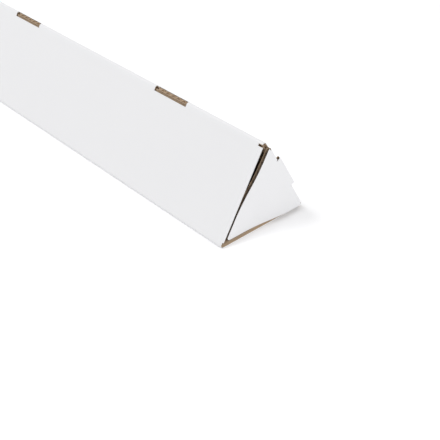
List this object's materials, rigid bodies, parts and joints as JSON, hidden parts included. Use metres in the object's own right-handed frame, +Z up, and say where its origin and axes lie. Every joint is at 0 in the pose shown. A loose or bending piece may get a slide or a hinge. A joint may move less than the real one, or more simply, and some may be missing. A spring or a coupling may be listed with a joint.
{
  "type": "cardboard mailing tube",
  "caption": "White triangular corrugated cardboard mailing tube, locked by tabs along its ridge and closed by a tucked triangular flap at each end.",
  "frame": {"origin": "middle of the bottom panel's outside, on the surface that the tube lies on", "axes": "+Y along the tube, from the front end to the rear end; +Z up, from the bottom panel to the ridge; +X to the right, seen from the front end"},
  "size_m": [0.084, 0.616, 0.0732],
  "materials": {
    "white_board": "matt white clay-coated outside",
    "kraft_edge": "raw brown cut edges and inside"
  },
  "bodies": {
    "tube": {"tube_shell": "white_board"},
    "front_flap": {"front_end_flap": "white_board"},
    "rear_flap": {"rear_end_flap": "white_board"}
  },
  "joints": [
    {"name": "front_flap_hinge", "type": "hinge", "parent": "tube", "child": "front_flap", "pos_m": [0.02165, -0.308, 0.0375], "axis": [-0.5, 0, 0.866], "range_deg": [0, 120]},
    {"name": "rear_flap_hinge", "type": "hinge", "parent": "tube", "child": "rear_flap", "pos_m": [0.02165, 0.308, 0.0375], "axis": [0.5, 0, -0.866], "range_deg": [0, 120]}
  ]
}
